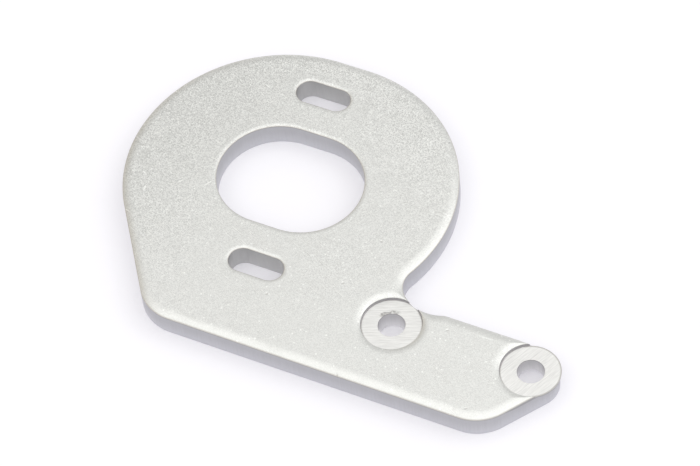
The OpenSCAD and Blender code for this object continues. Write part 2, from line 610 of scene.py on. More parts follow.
    def upper(self, at: Array) -> tuple[Array, Array]:
        """Height and normal of the upper face.

        The bands along all edges are merged as the eighth root of the sum of the
        eighth powers of their depths, and the small rounds are added to them.

        Args:
            at: Points in the plan.

        Returns:
            Heights and unit normals.
        """
        power, least = 8.0, 1e-32
        bands = [(self.outline, self.roll), (self.opening, self.rim)]
        bands += [(edge, self.rim) for edge in self.slots]
        bands += [(edge, self.draw) for edge in self.seats]
        total = np.full(len(at), least)
        total_slope = np.zeros((len(at), 2))
        small = np.zeros(len(at))
        small_slope = np.zeros((len(at), 2))
        for edge, rounding in bands:
            d, inward = edge.distance(at)
            depth, fall = rounding.drop(d)
            total += depth**power
            total_slope += (power * depth ** (power - 1) * fall)[:, None] * inward
            depth, fall = rounding.round_off(d)
            small += depth
            small_slope += fall[:, None] * inward
        merged = total ** (1 / power)
        slope = total_slope * (merged / total / power)[:, None] + small_slope
        height = self.sizes.sheet_t - merged - small
        return height, self.upright(slope)

    def floor(self, at: Array) -> tuple[Array, Array]:
        """Height and normal of a coined seat.

        It is flat, with a fine groove pressed along its wall, which is exp(-(d/w)^2)
        of its depth at a distance d, and a small round at the hole.

        Args:
            at: Points in the plan.

        Returns:
            Heights and unit normals.
        """
        width = self.sizes.groove_w
        height = np.full(len(at), self.sizes.floor_z)
        slope = np.zeros((len(at), 2))
        for seat, hole in zip(self.seats, self.holes):
            d, inward = seat.distance(at)
            groove = self.sizes.groove_h * np.exp(-((d / width) ** 2))
            height -= groove
            slope += (-2 * d / width**2 * groove)[:, None] * inward
            d, inward = hole.distance(at)
            lip, fall = self.rim.round_off(d)
            height -= lip
            slope += fall[:, None] * inward
        return height, self.upright(slope)

    @staticmethod
    def upright(slope: Array) -> Array:
        """Unit normals of a surface that falls with these slopes."""
        normal = np.concatenate([slope, np.ones((len(slope), 1))], axis=1)
        return normal / np.linalg.norm(normal, axis=1)[:, None]

    def in_seat(self, at: Array) -> Array:
        """Whether points in the plan lie over a coined seat."""
        return np.any([seat.distance(at)[0] < 0 for seat in self.seats], axis=0)

    def in_metal(self, at: Array, inset: float = 0.0) -> Array:
        """Whether points in the plan lie in the metal.

        Args:
            at: The points.
            inset: Least distance from the edges. Any but 0 stands for the underside,
                where the outer hole is broken out.

        Returns:
            True for each point that lies in the metal.
        """
        s = self.sizes
        least = inset + Edge.SHORTEST
        inside = [edge.distance(at)[0] > least for edge in self.edges]
        if inset:
            inside.append(np.hypot(*(at - s.break_centre).T) > s.break_r + least)
        else:
            inside[0] |= np.hypot(*(at - s.seat_centres[1]).T) < s.swell_r
        return np.all(inside, axis=0)

    def pushed(
        self, edge: Edge, points: Array, out: Array, z: Array
    ) -> tuple[Array, Array]:
        """Moves the points of a wall to where coining and punching have pushed it.

        The arm's end widens evenly from the height swell_z up to its seat. The lower
        edge of the outer hole widens to a cone about an axis off its centre, which a
        line at the angle a meets at off cos(a) + sqrt(R^2 - off^2 sin(a)^2).

        Args:
            edge: The wall's edge.
            points: Points of the wall in the plan.
            out: Directions out of the metal there.
            z: Their heights.

        Returns:
            The moved points and the directions out of the metal.
        """
        s = self.sizes
        if edge is not self.outline and edge is not self.holes[1]:
            return points, out
        way = points - s.seat_centres[1]
        far = np.hypot(way[..., 0], way[..., 1])
        way = way / far[..., None]
        if edge is self.outline:
            share = np.clip((z - s.swell_z) / (s.floor_z - s.swell_z), 0.0, 1.0)
            reach = s.arm_end_r - s.tuck + share * (s.swell_r + s.tuck - s.arm_end_r)
            side = 1.0
        else:
            radius = np.maximum(s.break_r - s.break_slope * z, 0.0)
            along = s.break_off * (way @ unit(s.break_dir))
            root = radius**2 - s.break_off**2 + along**2
            reach = along + np.sqrt(np.maximum(root, 0.0))
            side = -1.0
        more = np.maximum(reach - far, 0.0)[..., None]
        return points + more * way, np.where(more > Edge.SHORTEST, side * way, out)

    def levels(self, edge: Edge, where: Array) -> Array:
        """Heights of the rings of points down a wall, above its foot.

        The outer hole has one more, the crease where its edge begins to break out.

        Args:
            edge: The wall's edge.
            where: Places along it.

        Returns:
            A row of heights for each ring.
        """
        s = self.sizes
        rings = np.array(self.RINGS)[:, None] * np.ones(len(where))
        if edge is not self.holes[1]:
            return rings
        way = edge.at(where)[0] - s.break_centre
        crease = (s.break_r - np.hypot(*way.T)) / s.break_slope
        return np.vstack([rings, np.maximum(crease, self.LOWEST_CREASE * s.foot)])

    def rows(self, edge: Edge, places: Array, offsets: Sequence[float]) -> Array:
        """Points on lines alongside an edge, clear of every other edge.

        Each is the point on the edge less the offset along the direction out.

        Args:
            edge: The edge.
            places: Lengths along it.
            offsets: Distances into the metal, negative on the other side.

        Returns:
            The points in the plan.
        """
        points, out = edge.at(places)
        grid = points[None] - np.asarray(offsets)[:, None, None] * out[None]
        grid = grid.reshape(-1, 2)
        others = [other for other in [*self.edges, *self.seats] if other is not edge]
        clear = [np.abs(other.distance(grid)[0]) > self.CLEAR for other in others]
        return grid[np.all(clear, axis=0) & self.in_metal(grid)]

    def seat_ring(
        self, seat: Edge, outline_at: Array, crossings: Array
    ) -> tuple[Array, Array]:
        """Places round a seat, and which of them the outline shares.

        Args:
            seat: The seat's edge.
            outline_at: Points at which the outline crosses it.
            crossings: Numbers of those points in the plan.

        Returns:
            The places, and for each the shared point's number or -1.
        """
        way = seat.base[0] - outline_at
        angle = np.degrees(np.arctan2(way[:, 1], way[:, 0]))
        shared = (-90.0 - angle) % 360.0 / 360.0 * seat.total
        places = seat.stations(self.FINE_STEP, shared)
        number = np.full(len(places), -1)
        number[np.searchsorted(places, shared)] = crossings
        return places, number

    def build(self) -> bpy.types.Object:
        """Makes the whole plate.

        Returns:
            The plate's object.
        """
        outline_crossings = [
            self.outline.crossings(centre, self.sizes.seat_d / 2)
            for centre in self.sizes.seat_centres
        ]
        crossings = np.concatenate(outline_crossings)
        outline_places = self.outline.stations(self.STEP, crossings)
        places = [outline_places, self.opening.stations(self.STEP)]
        places += [e.stations(self.FINE_STEP) for e in [*self.slots, *self.holes]]

        plan: list[Array] = []
        kept: list[Array] = []
        loops: list[Array] = []
        count, top = 0, self.sizes.floor_z
        for edge, where in zip(self.edges, places):
            plan.append(self.pushed(edge, *edge.at(where), np.full(len(where), top))[0])
            loops.append(count + np.arange(len(where)))
            kept.append(count + follow(len(where)))
            count += len(where)

        rings = []
        for seat, crossed in zip(self.seats, outline_crossings):
            shared = loops[0][np.searchsorted(outline_places, crossed)]
            where, number = self.seat_ring(seat, self.outline.at(crossed)[0], shared)
            deep = self.outline.distance(seat.at(where)[0])[0]
            clear = (number >= 0) | (np.abs(deep) > self.SEAT_CLEAR)
            where, number, deep = where[clear], number[clear], deep[clear]
            points = seat.at(where)[0]
            fresh = (number < 0) & (deep > 0)
            number[fresh] = count + np.arange(fresh.sum())
            plan.append(points[fresh])
            count += int(fresh.sum())
            pair = follow(len(where))
            pair = pair[np.all(number[pair] >= 0, axis=1)]
            middle = np.mean(self.span(seat, where, pair), axis=0) % seat.total
            pair = pair[self.outline.distance(seat.at(middle)[0])[0] > 0]
            kept.append(number[pair])
            rings.append((seat, where, number, pair))

        plan += self.inner_rows(outline_places)
        flat = np.concatenate(plan)
        faces = triangulate(flat, np.concatenate(kept))
        centre = flat[faces].mean(axis=1)
        metal = self.in_metal(centre)
        faces, seated = faces[metal], self.in_seat(centre[metal])
        upper = self.cover(flat, faces[~seated], self.upper, Finish.TUMBLED)
        floor = self.cover(flat, faces[seated], self.floor, Finish.COINED)

        walls = zip(self.edges, self.finishes, places, loops)
        feet = [self.wall(*wall, upper, floor) for wall in walls]
        for ring in rings:
            self.recess(*ring, upper, floor)
        self.underside(feet)
        mesh = self.facets.mesh("motor_plate_sheet")
        piece = bpy.data.objects.new("motor_plate_sheet", mesh)
        bpy.context.scene.collection.objects.link(piece)
        return piece

    def inner_rows(self, outline_places: Array) -> list[Array]:
        """Rows of points alongside every edge, closer where a face curves more.

        Args:
            outline_places: Places along the outline.

        Returns:
            The rows' points in the plan, in a block for each edge.
        """
        bend, band = np.array(self.BEND), np.array(self.BAND)
        roll, rim, draw = (
            [*bend * rounding.nose, *band * rounding.width]
            for rounding in (self.roll, self.rim, self.draw)
        )
        lip = [*bend * self.rim.nose, *self.LIP]
        fine = [
            *((slot, rim) for slot in self.slots),
            *((seat, draw) for seat in self.seats),
            *((seat, self.GROOVE) for seat in self.seats),
            *((hole, lip) for hole in self.holes),
        ]
        return [
            self.rows(self.outline, outline_places, roll),
            self.rows(self.opening, self.opening.stations(self.STEP), rim),
            *(self.rows(e, e.stations(self.FINE_STEP), offsets) for e, offsets in fine),
        ]

    def cover(
        self,
        flat: Array,
        faces: Array,
        height: Callable[[Array], tuple[Array, Array]],
        finish: Finish,
    ) -> Array:
        """Lifts triangles of the plan to a face's height.

        Args:
            flat: Points of the plan.
            faces: The triangles.
            height: Gives heights and normals at points of the plan.
            finish: The finish.

        Returns:
            For each point of the plan its number in the mesh, or -1.
        """
        used = np.unique(faces)
        z, normal = height(flat[used])
        number = np.full(len(flat), -1)
        number[used] = self.facets.place(np.column_stack([flat[used], z]))
        row = np.full(len(flat), -1)
        row[used] = np.arange(len(used))
        brink = self.brink(flat[used])
        used_faces = row[faces]
        self.facets.cover(number[faces], normal[used_faces], brink[used_faces], finish)
        return number

    def brink(self, at: Array) -> Array:
        """Section map of a face: the distances from the nearest edge and seat rim.

        The outer seat's rim is the swollen edge where it runs off the outline.

        Args:
            at: Points in the plan.

        Returns:
            The two distances in millimetres.
        """
        edge = np.min([np.abs(edge.distance(at)[0]) for edge in self.edges], axis=0)
        seat = np.min([np.abs(seat.distance(at)[0]) for seat in self.seats], axis=0)
        swollen = self.sizes.swell_r - np.hypot(*(at - self.sizes.seat_centres[1]).T)
        beyond = self.outline.distance(at)[0] < self.sizes.rim_w
        seat = np.where(beyond, np.minimum(seat, np.abs(swollen)), seat)
        return np.stack([edge, seat], axis=1)

    def strip(self, corners: Array, out: Array, along: Array, finish: Finish) -> None:
        """Adds upright triangles.

        Args:
            corners: Numbers of their points.
            out: Direction out of the metal at each corner, in the plan.
            along: Length along the edge at each corner.
            finish: The finish.
        """
        z = np.concatenate(self.facets.points)[corners][..., 2]
        normal = np.concatenate([out, np.zeros(out.shape[:-1] + (1,))], axis=-1)
        self.facets.cover(corners, normal, np.stack([along, z], axis=-1), finish)

    def wall(
        self,
        edge: Edge,
        finish: Finish,
        where: Array,
        loop: Array,
        upper: Array,
        floor: Array,
    ) -> Array:
        """Carries the wall's section along an edge, from the face to the foot.

        The section is upright down to the foot, a quarter circle that ends on the
        underside. Its first row of triangles hangs from the upper face or the seat,
        and where one gives way to the other it has the step between them as well.

        Args:
            edge: The edge.
            finish: Its finish.
            where: Places along it.
            loop: Numbers of its points in the plan.
            upper: Mesh numbers of the plan's points on the upper face.
            floor: Mesh numbers of the plan's points on the seats.

        Returns:
            Mesh numbers of the points at the foot, with their plan beside them.
        """
        foot, inside = self.sizes.foot, 1e-3
        turn = np.radians(self.FOOT_TURNS)
        above = self.levels(edge, where)
        below = (foot * (1 - np.sin(turn)))[:, None] * np.ones(len(where))
        z = np.vstack([above, below])
        points, out = edge.at(where)
        spread = (np.broadcast_to(part, z.shape + (2,)) for part in (points, out))
        grid, outs = self.pushed(edge, *spread, z)
        inset = np.concatenate([np.zeros(len(above)), foot * (1 - np.cos(turn))])
        grid = grid - inset[:, None, None] * outs
        number = self.facets.place(np.dstack([grid, z]).reshape(-1, 3)).reshape(z.shape)

        here, after = follow(len(where)).T
        ahead = np.append(where[1:], edge.total + where[0])
        middle, middle_out = edge.at((where + ahead) / 2 % edge.total)
        seated = self.in_seat(middle - inside * middle_out)
        top_here = np.where(seated, floor[loop[here]], upper[loop[here]])
        top_after = np.where(seated, floor[loop[after]], upper[loop[after]])
        low_here, low_after = number[0, here], number[0, after]
        both = (upper[loop] >= 0) & (floor[loop] >= 0)
        step_here, step_after = both[here] & ~seated, both[after] & ~seated

        def add(mask: Array, *corners: tuple[Array, bool]) -> None:
            """Adds a triangle for each marked stretch.

            Args:
                mask: Marks the stretches.
                corners: Numbers of each corner, and whether it is at the far end.
            """
            ids = np.stack([ids[mask] for ids, _ in corners], axis=1)
            ends = [(after, ahead) if far else (here, where) for _, far in corners]
            turned = np.stack([out[end][mask] for end, _ in ends], axis=1)
            along = np.stack([place[mask] for _, place in ends], axis=1)
            self.strip(ids, turned, along, finish)

        near, far = False, True
        mid_here, mid_after = floor[loop[here]], floor[loop[after]]
        add(~step_after, (low_here, near), (low_after, far), (top_after, far))
        add(step_after, (low_here, near), (low_after, far), (mid_after, far))
        add(step_after, (low_here, near), (mid_after, far), (top_after, far))
        add(~step_here, (low_here, near), (top_after, far), (top_here, near))
        add(step_here, (low_here, near), (top_after, far), (mid_here, near))
        add(step_here, (mid_here, near), (top_after, far), (top_here, near))

        for k in range(len(z) - 1):
            fall = z[k] - z[k + 1]
            lean = np.einsum("ij,ij->i", grid[k] - grid[k + 1], outs[k + 1]) / fall
            tilts = np.arctan([lean, lean])
            if k >= len(above):
                first = k - len(above)
                tilts = turn[first : first + 2, None] * np.ones(len(where))
            high, low = (
                np.column_stack([np.cos(tilt)[:, None] * way, -np.sin(tilt)])
                for tilt, way in zip(tilts, outs[k : k + 2])
            )
            for corners in (((1, 0), (1, 1), (0, 1)), ((1, 0), (0, 1), (0, 0))):
                ends = [(k + step, after if far else here) for step, far in corners]
                ids = np.stack([number[end] for end in ends], axis=1)
                shade = [(high, low)[ring - k][side] for ring, side in ends]
                u = np.stack([ahead if far else where for _, far in corners], axis=1)
                v = np.stack([z[end] for end in ends], axis=1)
                section = np.stack([u, v], axis=-1)
                self.facets.cover(ids, np.stack(shade, axis=1), section, finish)
        return np.column_stack([number[-1], grid[-1]])

    @staticmethod
    def span(seat: Edge, where: Array, pair: Array) -> tuple[Array, Array]:
        """Lengths along a seat at the two ends of the stretches between its places.

        Args:
            seat: The seat's edge.
            where: Places along it.
            pair: Pairs of numbers of places, each of one and the next.

        Returns:
            The lengths at the near ends and at the far ends.
        """
        round_again = np.where(pair[:, 1] < pair[:, 0], seat.total, 0.0)
        return where[pair[:, 0]], where[pair[:, 1]] + round_again

    def recess(
        self,
        seat: Edge,
        where: Array,
        number: Array,
        pair: Array,
        upper: Array,
        floor: Array,
    ) -> None:
        """Adds the low upright wall between the upper face and a seat.

        Args:
            seat: The seat's edge.
            where: Places along it.
            number: Numbers of its points in the plan, or -1.
            pair: Pairs of places that the wall joins.
            upper: Mesh numbers of the plan's points on the upper face.
            floor: Mesh numbers of the plan's points on the seats.
        """
        out = seat.at(where)[1]
        a, b = number[pair].T
        ids = np.stack([floor[a], floor[b], upper[b], upper[a]], axis=1)
        turned = out[pair[:, [0, 1, 1, 0]]]
        near, far = self.span(seat, where, pair)
        along = np.stack([near, far, far, near], axis=1)
        for corner in ([0, 1, 2], [0, 2, 3]):
            self.strip(
                ids[:, corner], turned[:, corner], along[:, corner], Finish.PRESSED
            )

    def underside(self, feet: Sequence[Array]) -> None:
        """Closes the plate with its flat underside, which has no line along its edges.

        Args:
            feet: For each edge the mesh numbers of its foot, with their plan.
        """
        flat = np.concatenate([foot[:, 1:] for foot in feet])
        number = np.concatenate([foot[:, 0] for foot in feet]).astype(int)
        starts = np.cumsum([0] + [len(foot) for foot in feet[:-1]])
        loops = [start + follow(len(foot)) for start, foot in zip(starts, feet)]
        faces = triangulate(flat, np.concatenate(loops))
        faces = faces[self.in_metal(flat[faces].mean(axis=1), self.sizes.foot)][:, ::-1]
        normal = np.broadcast_to([0.0, 0.0, -1.0], faces.shape + (3,))
        inner = np.full(faces.shape + (2,), self.sizes.lobe_r)
        self.facets.cover(number[faces], normal, inner, Finish.TUMBLED)

    @staticmethod
    def dress(piece: bpy.types.Object) -> None:
        """Gives the plate its finishes, in the order of their numbers."""
        for finish in Finish:
            piece.data.materials.append(FINISHES[finish].material())


class Value:
    """Number carried by a socket. Arithmetic on it adds Math nodes."""

    def __init__(self, graph: "Graph", socket: bpy.types.NodeSocket) -> None:
        """Wraps a socket.

        Args:
            graph: The node graph it belongs to.
            socket: The output socket.
        """
        self.graph = graph
        self.socket = socket

    def math(self, operation: str, *inputs: "Value | float") -> "Value":
        """Adds a Math node.

        Args:
            operation: Its operation.
            inputs: Its inputs.

        Returns:
            Its result.
        """
        values = dict(enumerate(inputs))
        node = self.graph.node("ShaderNodeMath", {"operation": operation}, values)
        return Value(self.graph, node.outputs[0])

    def __add__(self, other: "Value | float") -> "Value":
        """Sum."""
        return self.math("ADD", self, other)

    __radd__ = __add__

    def __mul__(self, other: "Value | float") -> "Value":
        """Product."""
        return self.math("MULTIPLY", self, other)

    __rmul__ = __mul__

    def __sub__(self, other: "Value | float") -> "Value":
        """Difference."""
        return self.math("SUBTRACT", self, other)

    def __rsub__(self, other: "Value | float") -> "Value":
        """Difference from a number."""
        return self.math("SUBTRACT", other, self)

    def capped(self) -> "Value":
        """This value, but no more than 1."""
        return self.math("MINIMUM", self, 1.0)

    def step(self, low: float, high: float) -> "Value":
        """Smooth step.

        Args:
            low: Value up to which it is 0.
            high: Value from which it is 1.

        Returns:
            The step.
        """
        node = self.graph.node(
            "ShaderNodeMapRange",
            {"interpolation_type": "SMOOTHSTEP"},
            {"Value": self, "From Min": low, "From Max": high},
        )
        return Value(self.graph, node.outputs["Result"])


class Graph:
    """Node graph of a material or of the world."""

    def __init__(self, tree: bpy.types.NodeTree) -> None:
        """Takes over a tree.

        Args:
            tree: The tree, which is emptied.
        """
        self.tree = tree
        tree.nodes.clear()

    def node(
        self,
        kind: str,
        settings: dict[str, Any] | None = None,
        values: dict[str | int, Any] | None = None,
    ) -> bpy.types.Node:
        """Adds a node.

        Args:
            kind: Its type.
            settings: Its settings, made first as they can change its sockets.
            values: Numbers, colours, values or sockets for its inputs.

        Returns:
            The node.
        """
        node = self.tree.nodes.new(kind)
        for name, value in (settings or {}).items():
            setattr(node, name, value)
        for name, value in (values or {}).items():
            self.feed(node.inputs[name], value)
        return node

    def feed(self, socket: bpy.types.NodeSocket, value: Any) -> None:
        """Links an input, or sets it.

        Args:
            socket: The input.
            value: A socket or a value to link, or a number or colour to set.
        """
        if isinstance(value, Value):
            value = value.socket
        if isinstance(value, bpy.types.NodeSocket):
            self.tree.links.new(value, socket)
        else:
            socket.default_value = value

    def vector(self, operation: str, *inputs: Any) -> bpy.types.NodeOutputs:
        """Adds a Vector Math node.

        Args:
            operation: Its operation.
            inputs: Its inputs.

        Returns:
            Its outputs.
        """
        values = dict(enumerate(inputs))
        node = self.node("ShaderNodeVectorMath", {"operation": operation}, values)
        return node.outputs

    def mix(self, factor: Value, first: Any, second: Any) -> bpy.types.NodeSocket:
        """Adds a mix of two colours.

        Args:
            factor: How much of the second colour it holds, from 0 to 1.
            first: The first colour.
            second: The second colour.

        Returns:
            The mixed colour.
        """
        values = {0: factor, 6: first, 7: second}
        return self.node("ShaderNodeMix", {"data_type": "RGBA"}, values).outputs[2]


class Metal:
    """Material of the plate with the patterns that its finishes share.

    Its class values are the height of noise over which a scratch fades, the size,
    turn and heights of the noise that leaves stretches without scratches, and how
    far out a spot stays full.
    """

    SCRATCH_EDGE = 0.06
    PATCH_SIZE = 5.0
    PATCH_TURN = 31.0
    PATCH_EDGE = (0.5, 0.6)
    SPOT_CORE = 0.4

    def __init__(self, name: str) -> None:
        """Starts an empty material.

        Args:
            name: Its name.
        """
        self.material = bpy.data.materials.new(name)
        self.material.use_nodes = True
        self.graph = Graph(self.material.node_tree)
        self.place = self.graph.node("ShaderNodeTexCoord").outputs["Object"]
        section = self.graph.node("ShaderNodeUVMap", {"uv_map": "section"})
        self.section = section.outputs[0]

    def placed(
        self, turn: float, stretch: Sequence[float], place: Any = None
    ) -> bpy.types.NodeSocket:
        """Position in millimetres, turned about Z and then stretched.

        Args:
            turn: Angle in degrees.
            stretch: How much shorter a pattern becomes along each axis.
            place: Position in metres, or the object's own if none is given.

        Returns:
            The position.
        """
        mapping = {
            "Vector": place or self.place,
            "Rotation": (0.0, 0.0, math.radians(turn)),
            "Scale": (1 / MM, 1 / MM, 1 / MM),
        }
        turned = self.graph.node("ShaderNodeMapping", values=mapping).outputs[0]
        return self.graph.vector("MULTIPLY", turned, tuple(stretch))[0]

    def parts(self, at: bpy.types.NodeSocket) -> tuple[Value, Value]:
        """First two parts of a position."""
        parts = self.graph.node("ShaderNodeSeparateXYZ", values={"Vector": at}).outputs
        return Value(self.graph, parts["X"]), Value(self.graph, parts["Y"])

    def noise(
        self, at: Any, size: float, detail: float = 2.0, rough: float = 0.5
    ) -> Value:
        """Noise between 0 and 1.

        Args:
            at: Position in millimetres.
            size: Size of its features in millimetres.
            detail: Number of finer noises in it.
            rough: Strength of each finer noise against the one before.

        Returns:
            The noise.
        """
        values = {"Vector": at, "Scale": 1 / size, "Detail": detail, "Roughness": rough}
        node = self.graph.node("ShaderNodeTexNoise", values=values)
        return Value(self.graph, node.outputs["Fac"])

    def cells(self, at: Any, size: float) -> tuple[Value, Value]:
        """Irregular cells.

        Args:
            at: Position in millimetres.
            size: Their size in millimetres.

        Returns:
            The distance from a cell's middle, in sizes, and the cell's own number.
        """
        values = {"Vector": at, "Scale": 1 / size}
        cells = self.graph.node("ShaderNodeTexVoronoi", values=values).outputs
        color = {"Color": cells["Color"]}
        own = self.graph.node("ShaderNodeSeparateColor", values=color).outputs[0]
        return Value(self.graph, cells["Distance"]), Value(self.graph, own)

    def dots(
        self, at: Any, size: float, rim: tuple[float, float], few: tuple[float, float]
    ) -> Value:
        """Soft round dots in the middle of some cells.

        Args:
            at: Position in millimetres.
            size: Size of the cells in millimetres.
            rim: Distances from the middle, in sizes, at which a dot fades and ends.
            few: Step over the cells' own numbers past which a cell has a dot.

        Returns:
            The dots, 1 inside and 0 outside.
        """
        far, own = self.cells(at, size)
        return (1.0 - far.step(*rim)) * own.step(*few)

    def scratches(self, turn: float, length: float, width: float, most: float) -> Value:
        """Sparse thin straight scratches: the crests of a noise stretched along them.

        Args:
            turn: Angle of the pattern in degrees.
            length: Length of its features in millimetres.
            width: Width of its features in millimetres.
            most: Height of the noise from which it is a scratch.

        Returns:
            The scratches, 1 inside and 0 outside.
        """
        at = self.placed(turn, (1 / length, 1 / width, 1.0))
        patch_at = self.placed(turn + self.PATCH_TURN, EVEN)
        where = self.noise(patch_at, self.PATCH_SIZE, 1.0)
        crests = self.noise(at, 1.0, 0.0).step(most, most + self.SCRATCH_EDGE)
        return crests * where.step(*self.PATCH_EDGE)

    def spot(
        self, x: float, y: float, length: float, width: float, turn: float
    ) -> Value:
        """Soft oval spot.

        Args:
            x: Place of its middle along X, in millimetres.
            y: Place of its middle along Y, in millimetres.
            length: Half its length.
            width: Half its width.
            turn: Angle of its length from X, in degrees.

        Returns:
            The spot, 1 in its middle and 0 outside it.
        """
        way = self.graph.vector("SUBTRACT", self.place, (x * MM, y * MM, 0.0))[0]
        at = self.placed(-turn, (1 / length, 1 / width, 0.0), way)
        far = Value(self.graph, self.graph.vector("LENGTH", at)["Value"])
        return 1.0 - far.step(self.SPOT_CORE, 1.0)

    def ramp(self, way: tuple[float, float], span: tuple[float, float]) -> Value:
        """Smooth step across the plate.

        Args:
            way: Shares of X and of Y that add up to how far along a place is.
            span: How far along, in millimetres, it is 0 and it is 1.

        Returns:
            The step.
        """
        x, y = self.parts(self.placed(0.0, EVEN))
        return (way[0] * x + way[1] * y).step(*span)

    def bumps(self, height: Value, distance: float) -> bpy.types.NodeSocket:
        """Normal of a raised surface.

        Args:
            height: Height of the surface.
            distance: What a height of 1 is in millimetres.

        Returns:
            The normal.
        """
        values = {"Height": height, "Distance": distance * MM, "Strength": 1.0}
        return self.graph.node("ShaderNodeBump", values=values).outputs[0]

    def finish(self, **values: Any) -> bpy.types.Material:
        """Closes the graph with a metallic surface.

        Args:
            values: Its inputs, with _ for the spaces in their names.

        Returns:
            The material.
        """
        names = {name.replace("_", " "): value for name, value in values.items()}
        names["Metallic"] = 1.0
        shader = self.graph.node("ShaderNodeBsdfPrincipled", values=names)
        output = {"Surface": shader.outputs[0]}
        self.graph.node("ShaderNodeOutputMaterial", values=output)
        return self.material


@dataclass(frozen=True)
class Tumbled:
    """Finish of the faces: a fine grain with painted glints, weaker on the arm, and
    faint marks. Light is painted on the arm, and shade on the lobe's left and along
    edges.

    Attributes:
        dull: Colour of the dullest grains.
        pale: Colour of the brightest grains.
        tan: Colour of the painted shade line along the brink of the edges.
        painted_edge_shade_share: Strength of that painted shade line.
        roughness: Mean roughness.
        grain: Size of a grain in millimetres.
        patch: Size of the broad patches in millimetres.
        arm: Shares of X and Y of the way to the arm, where the grain wears off and the
            face is painted lighter.
        arm_span: Where along that way the wear and the painted light begin and end.
        lobe: Shares of X and Y of the way from the left of the lobe, where shade is
            painted.
        lobe_span: Where along that way the painted shade gives over.
        mean: Mean tone, from 0 for the dull colour to 1 for the pale one.
        coarse: Strength of the grains in the tone.
        finer: Strength of the finer grain over them.
        broad: Strength of the broad patches.
        worn_off: Share of the grain that wears off on the arm.
        painted_arm_light: Strength of the painted light that makes the arm paler.
        calm: Share of the grain that is left along the edges.
        painted_glints: Strength of the painted glints, a few bright grains.
        scratched: Strength of the scratches, and how much less it is on the arm.
        shade: Strength of the painted shade on the left of the lobe.
        marks: Light marks: middle, half length and half width in millimetres, turn
            in degrees, and strength.
    """

    dull: Color = (0.59, 0.593, 0.563, 1.0)
    pale: Color = (0.985, 0.99, 0.95, 1.0)
    tan: Color = (0.5, 0.46, 0.4, 1.0)
    painted_edge_shade_share: float = 0.5
    roughness: float = 0.4
    grain: float = 0.08
    patch: float = 2.4
    arm: tuple[float, float] = (0.5, -0.86)
    arm_span: tuple[float, float] = (-8.0, 24.0)
    lobe: tuple[float, float] = (1.0, -0.3)
    lobe_span: tuple[float, float] = (-20.0, -2.0)
    mean: float = 0.49
    coarse: float = 1.3
    finer: float = 0.3
    broad: float = 0.1
    worn_off: float = 0.68
    painted_arm_light: float = 0.04
    calm: float = 0.55
    painted_glints: float = 0.5
    scratched: tuple[float, float] = (0.7, 0.4)
    shade: float = 0.15
    marks: tuple[tuple[float, ...], ...] = (
        (29.9, -12.14, 1.1, 0.11, 3.5, 0.34),
        (15.64, -15.32, 0.14, 0.14, 0.0, 0.5),
        (-8.55, -4.11, 0.8, 0.1, 60.7, 0.9),
        (-11.66, -5.0, 0.4, 0.1, 54.6, 0.9),
        (-11.32, -9.28, 0.14, 0.14, 0.0, 0.9),
        (-16.16, -5.37, 0.45, 0.09, -26.8, 0.7),
        (-15.13, -7.37, 0.6, 0.14, 94.0, 0.7),
    )

    def material(self) -> bpy.types.Material:
        """Makes the material.

        The tone is its mean, the grain and the patches about it, and the painted
        glints, scratches and marks on top, with light painted on the arm and shade
        painted on the left of the lobe. The arm's ramp, left and edge say where on the
        plate it is.

        Returns:
            The material.
        """
        metal = Metal("tumbled_aluminium")
        at = metal.placed(0.0, EVEN)
        edge, _ = metal.parts(metal.section)
        # Ramp towards the arm: the grain wears off there, and light is painted there
        # too.
        worn_and_lit = metal.ramp(self.arm, self.arm_span)
        # Painted shade on the left of the lobe.
        left = 1.0 - metal.ramp(self.lobe, self.lobe_span)
        _, own = metal.cells(at, self.grain)
        fine = metal.noise(at, 1.6 * self.grain, 2.0, 0.7)
        patches = metal.noise(at, self.patch)
        # Painted glints: a few grains painted bright.
        painted_glints = metal.dots(at, 0.6, (0.1, 0.24), (0.55, 0.75))
        dings = metal.dots(at, 1.5, (0.04, 0.13), (0.82, 0.86))
        scratches = metal.scratches(24.0, 2.2, 0.09, 0.71)
        scratches = scratches + metal.scratches(-48.0, 1.6, 0.08, 0.72)
        strength, less = self.scratched

        grain = (own - 0.5) * self.coarse + (fine - 0.5) * self.finer
        grain = grain * (1.0 - self.worn_off * worn_and_lit)
        grain = grain * (self.calm + (1.0 - self.calm) * edge.step(0.3, 1.4))
        tone = self.mean + grain + (patches - 0.5) * self.broad
        tone = tone + painted_glints * self.painted_glints + scratches * (strength - less * worn_and_lit)
        # Painted light on the arm, and painted shade on the left of the lobe.
        tone = tone + worn_and_lit * self.painted_arm_light - left * self.shade
        for *oval, strength in self.marks:
            tone = tone + metal.spot(*oval) * strength
        color = metal.graph.mix(tone, self.dull, self.pale)
        # Painted shade: a dark line along the brink of every edge, for the dark
        # reflection of the rounded brink.
        line = self.painted_edge_shade_share * (1.0 - edge.step(0.02, 0.16))
        height = fine * 0.5 - dings * 1.4 - scratches * 0.4
        return metal.finish(
            Base_Color=metal.graph.mix(line, color, self.tan),
            Roughness=self.roughness + (fine - 0.5) * 0.1,
            Normal=metal.bumps(height, 0.03),
        )


